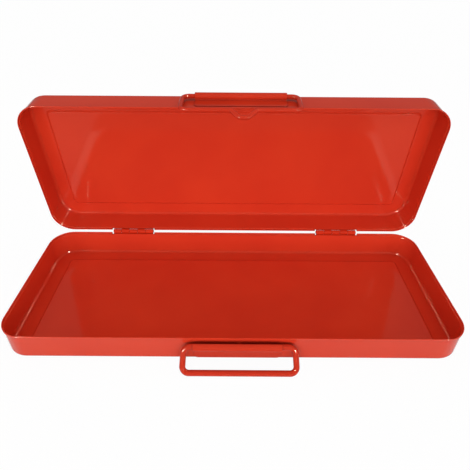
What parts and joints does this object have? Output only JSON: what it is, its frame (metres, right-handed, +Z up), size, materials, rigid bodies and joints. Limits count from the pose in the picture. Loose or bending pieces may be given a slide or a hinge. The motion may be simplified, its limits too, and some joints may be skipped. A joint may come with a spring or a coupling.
{
  "type": "hinged steel tool case",
  "caption": "Flat pressed-steel tool case in red enamel, standing open: shallow base and lid trays on rear hinges, a wire carrying handle and a wire latch bail in curled brackets.",
  "frame": {"origin": "middle of the base tray, on the face that the case stands on", "axes": "+X along the case to the right seen from the front, +Y towards the hinges at the back, +Z up"},
  "size_m": [0.45, 0.2204, 0.2082],
  "materials": {
    "red_enamel": "gloss"
  },
  "bodies": {
    "base": {"base_tray": "red_enamel", "base_handle_bracket": "red_enamel", "left_hinge_base_leaf": "red_enamel", "right_hinge_base_leaf": "red_enamel", "left_hinge_pin": "red_enamel", "right_hinge_pin": "red_enamel"},
    "lid": {"lid_tray": "red_enamel", "lid_bail_bracket": "red_enamel", "left_hinge_lid_leaf": "red_enamel", "right_hinge_lid_leaf": "red_enamel"},
    "handle": {"carry_handle": "red_enamel"},
    "bail": {"latch_bail": "red_enamel"}
  },
  "joints": [
    {"name": "lid_swing", "type": "hinge", "parent": "base", "child": "lid", "pos_m": [0, 0.08525, 0.0313], "axis": [1, 0, 0], "range_deg": [0, 83.3]},
    {"name": "handle_swing", "type": "hinge", "parent": "base", "child": "handle", "pos_m": [0, -0.08705, 0.023], "axis": [-1, 0, 0], "range_deg": [0, 132]},
    {"name": "bail_swing", "type": "hinge", "parent": "lid", "child": "bail", "pos_m": [0, 0.08586, 0.20435], "axis": [-1, 0, 0], "range_deg": [0, 15]}
  ],
  "couplings": [
    {"joint": "bail_swing", "follows": "lid_swing", "ratio": 0.18}
  ]
}
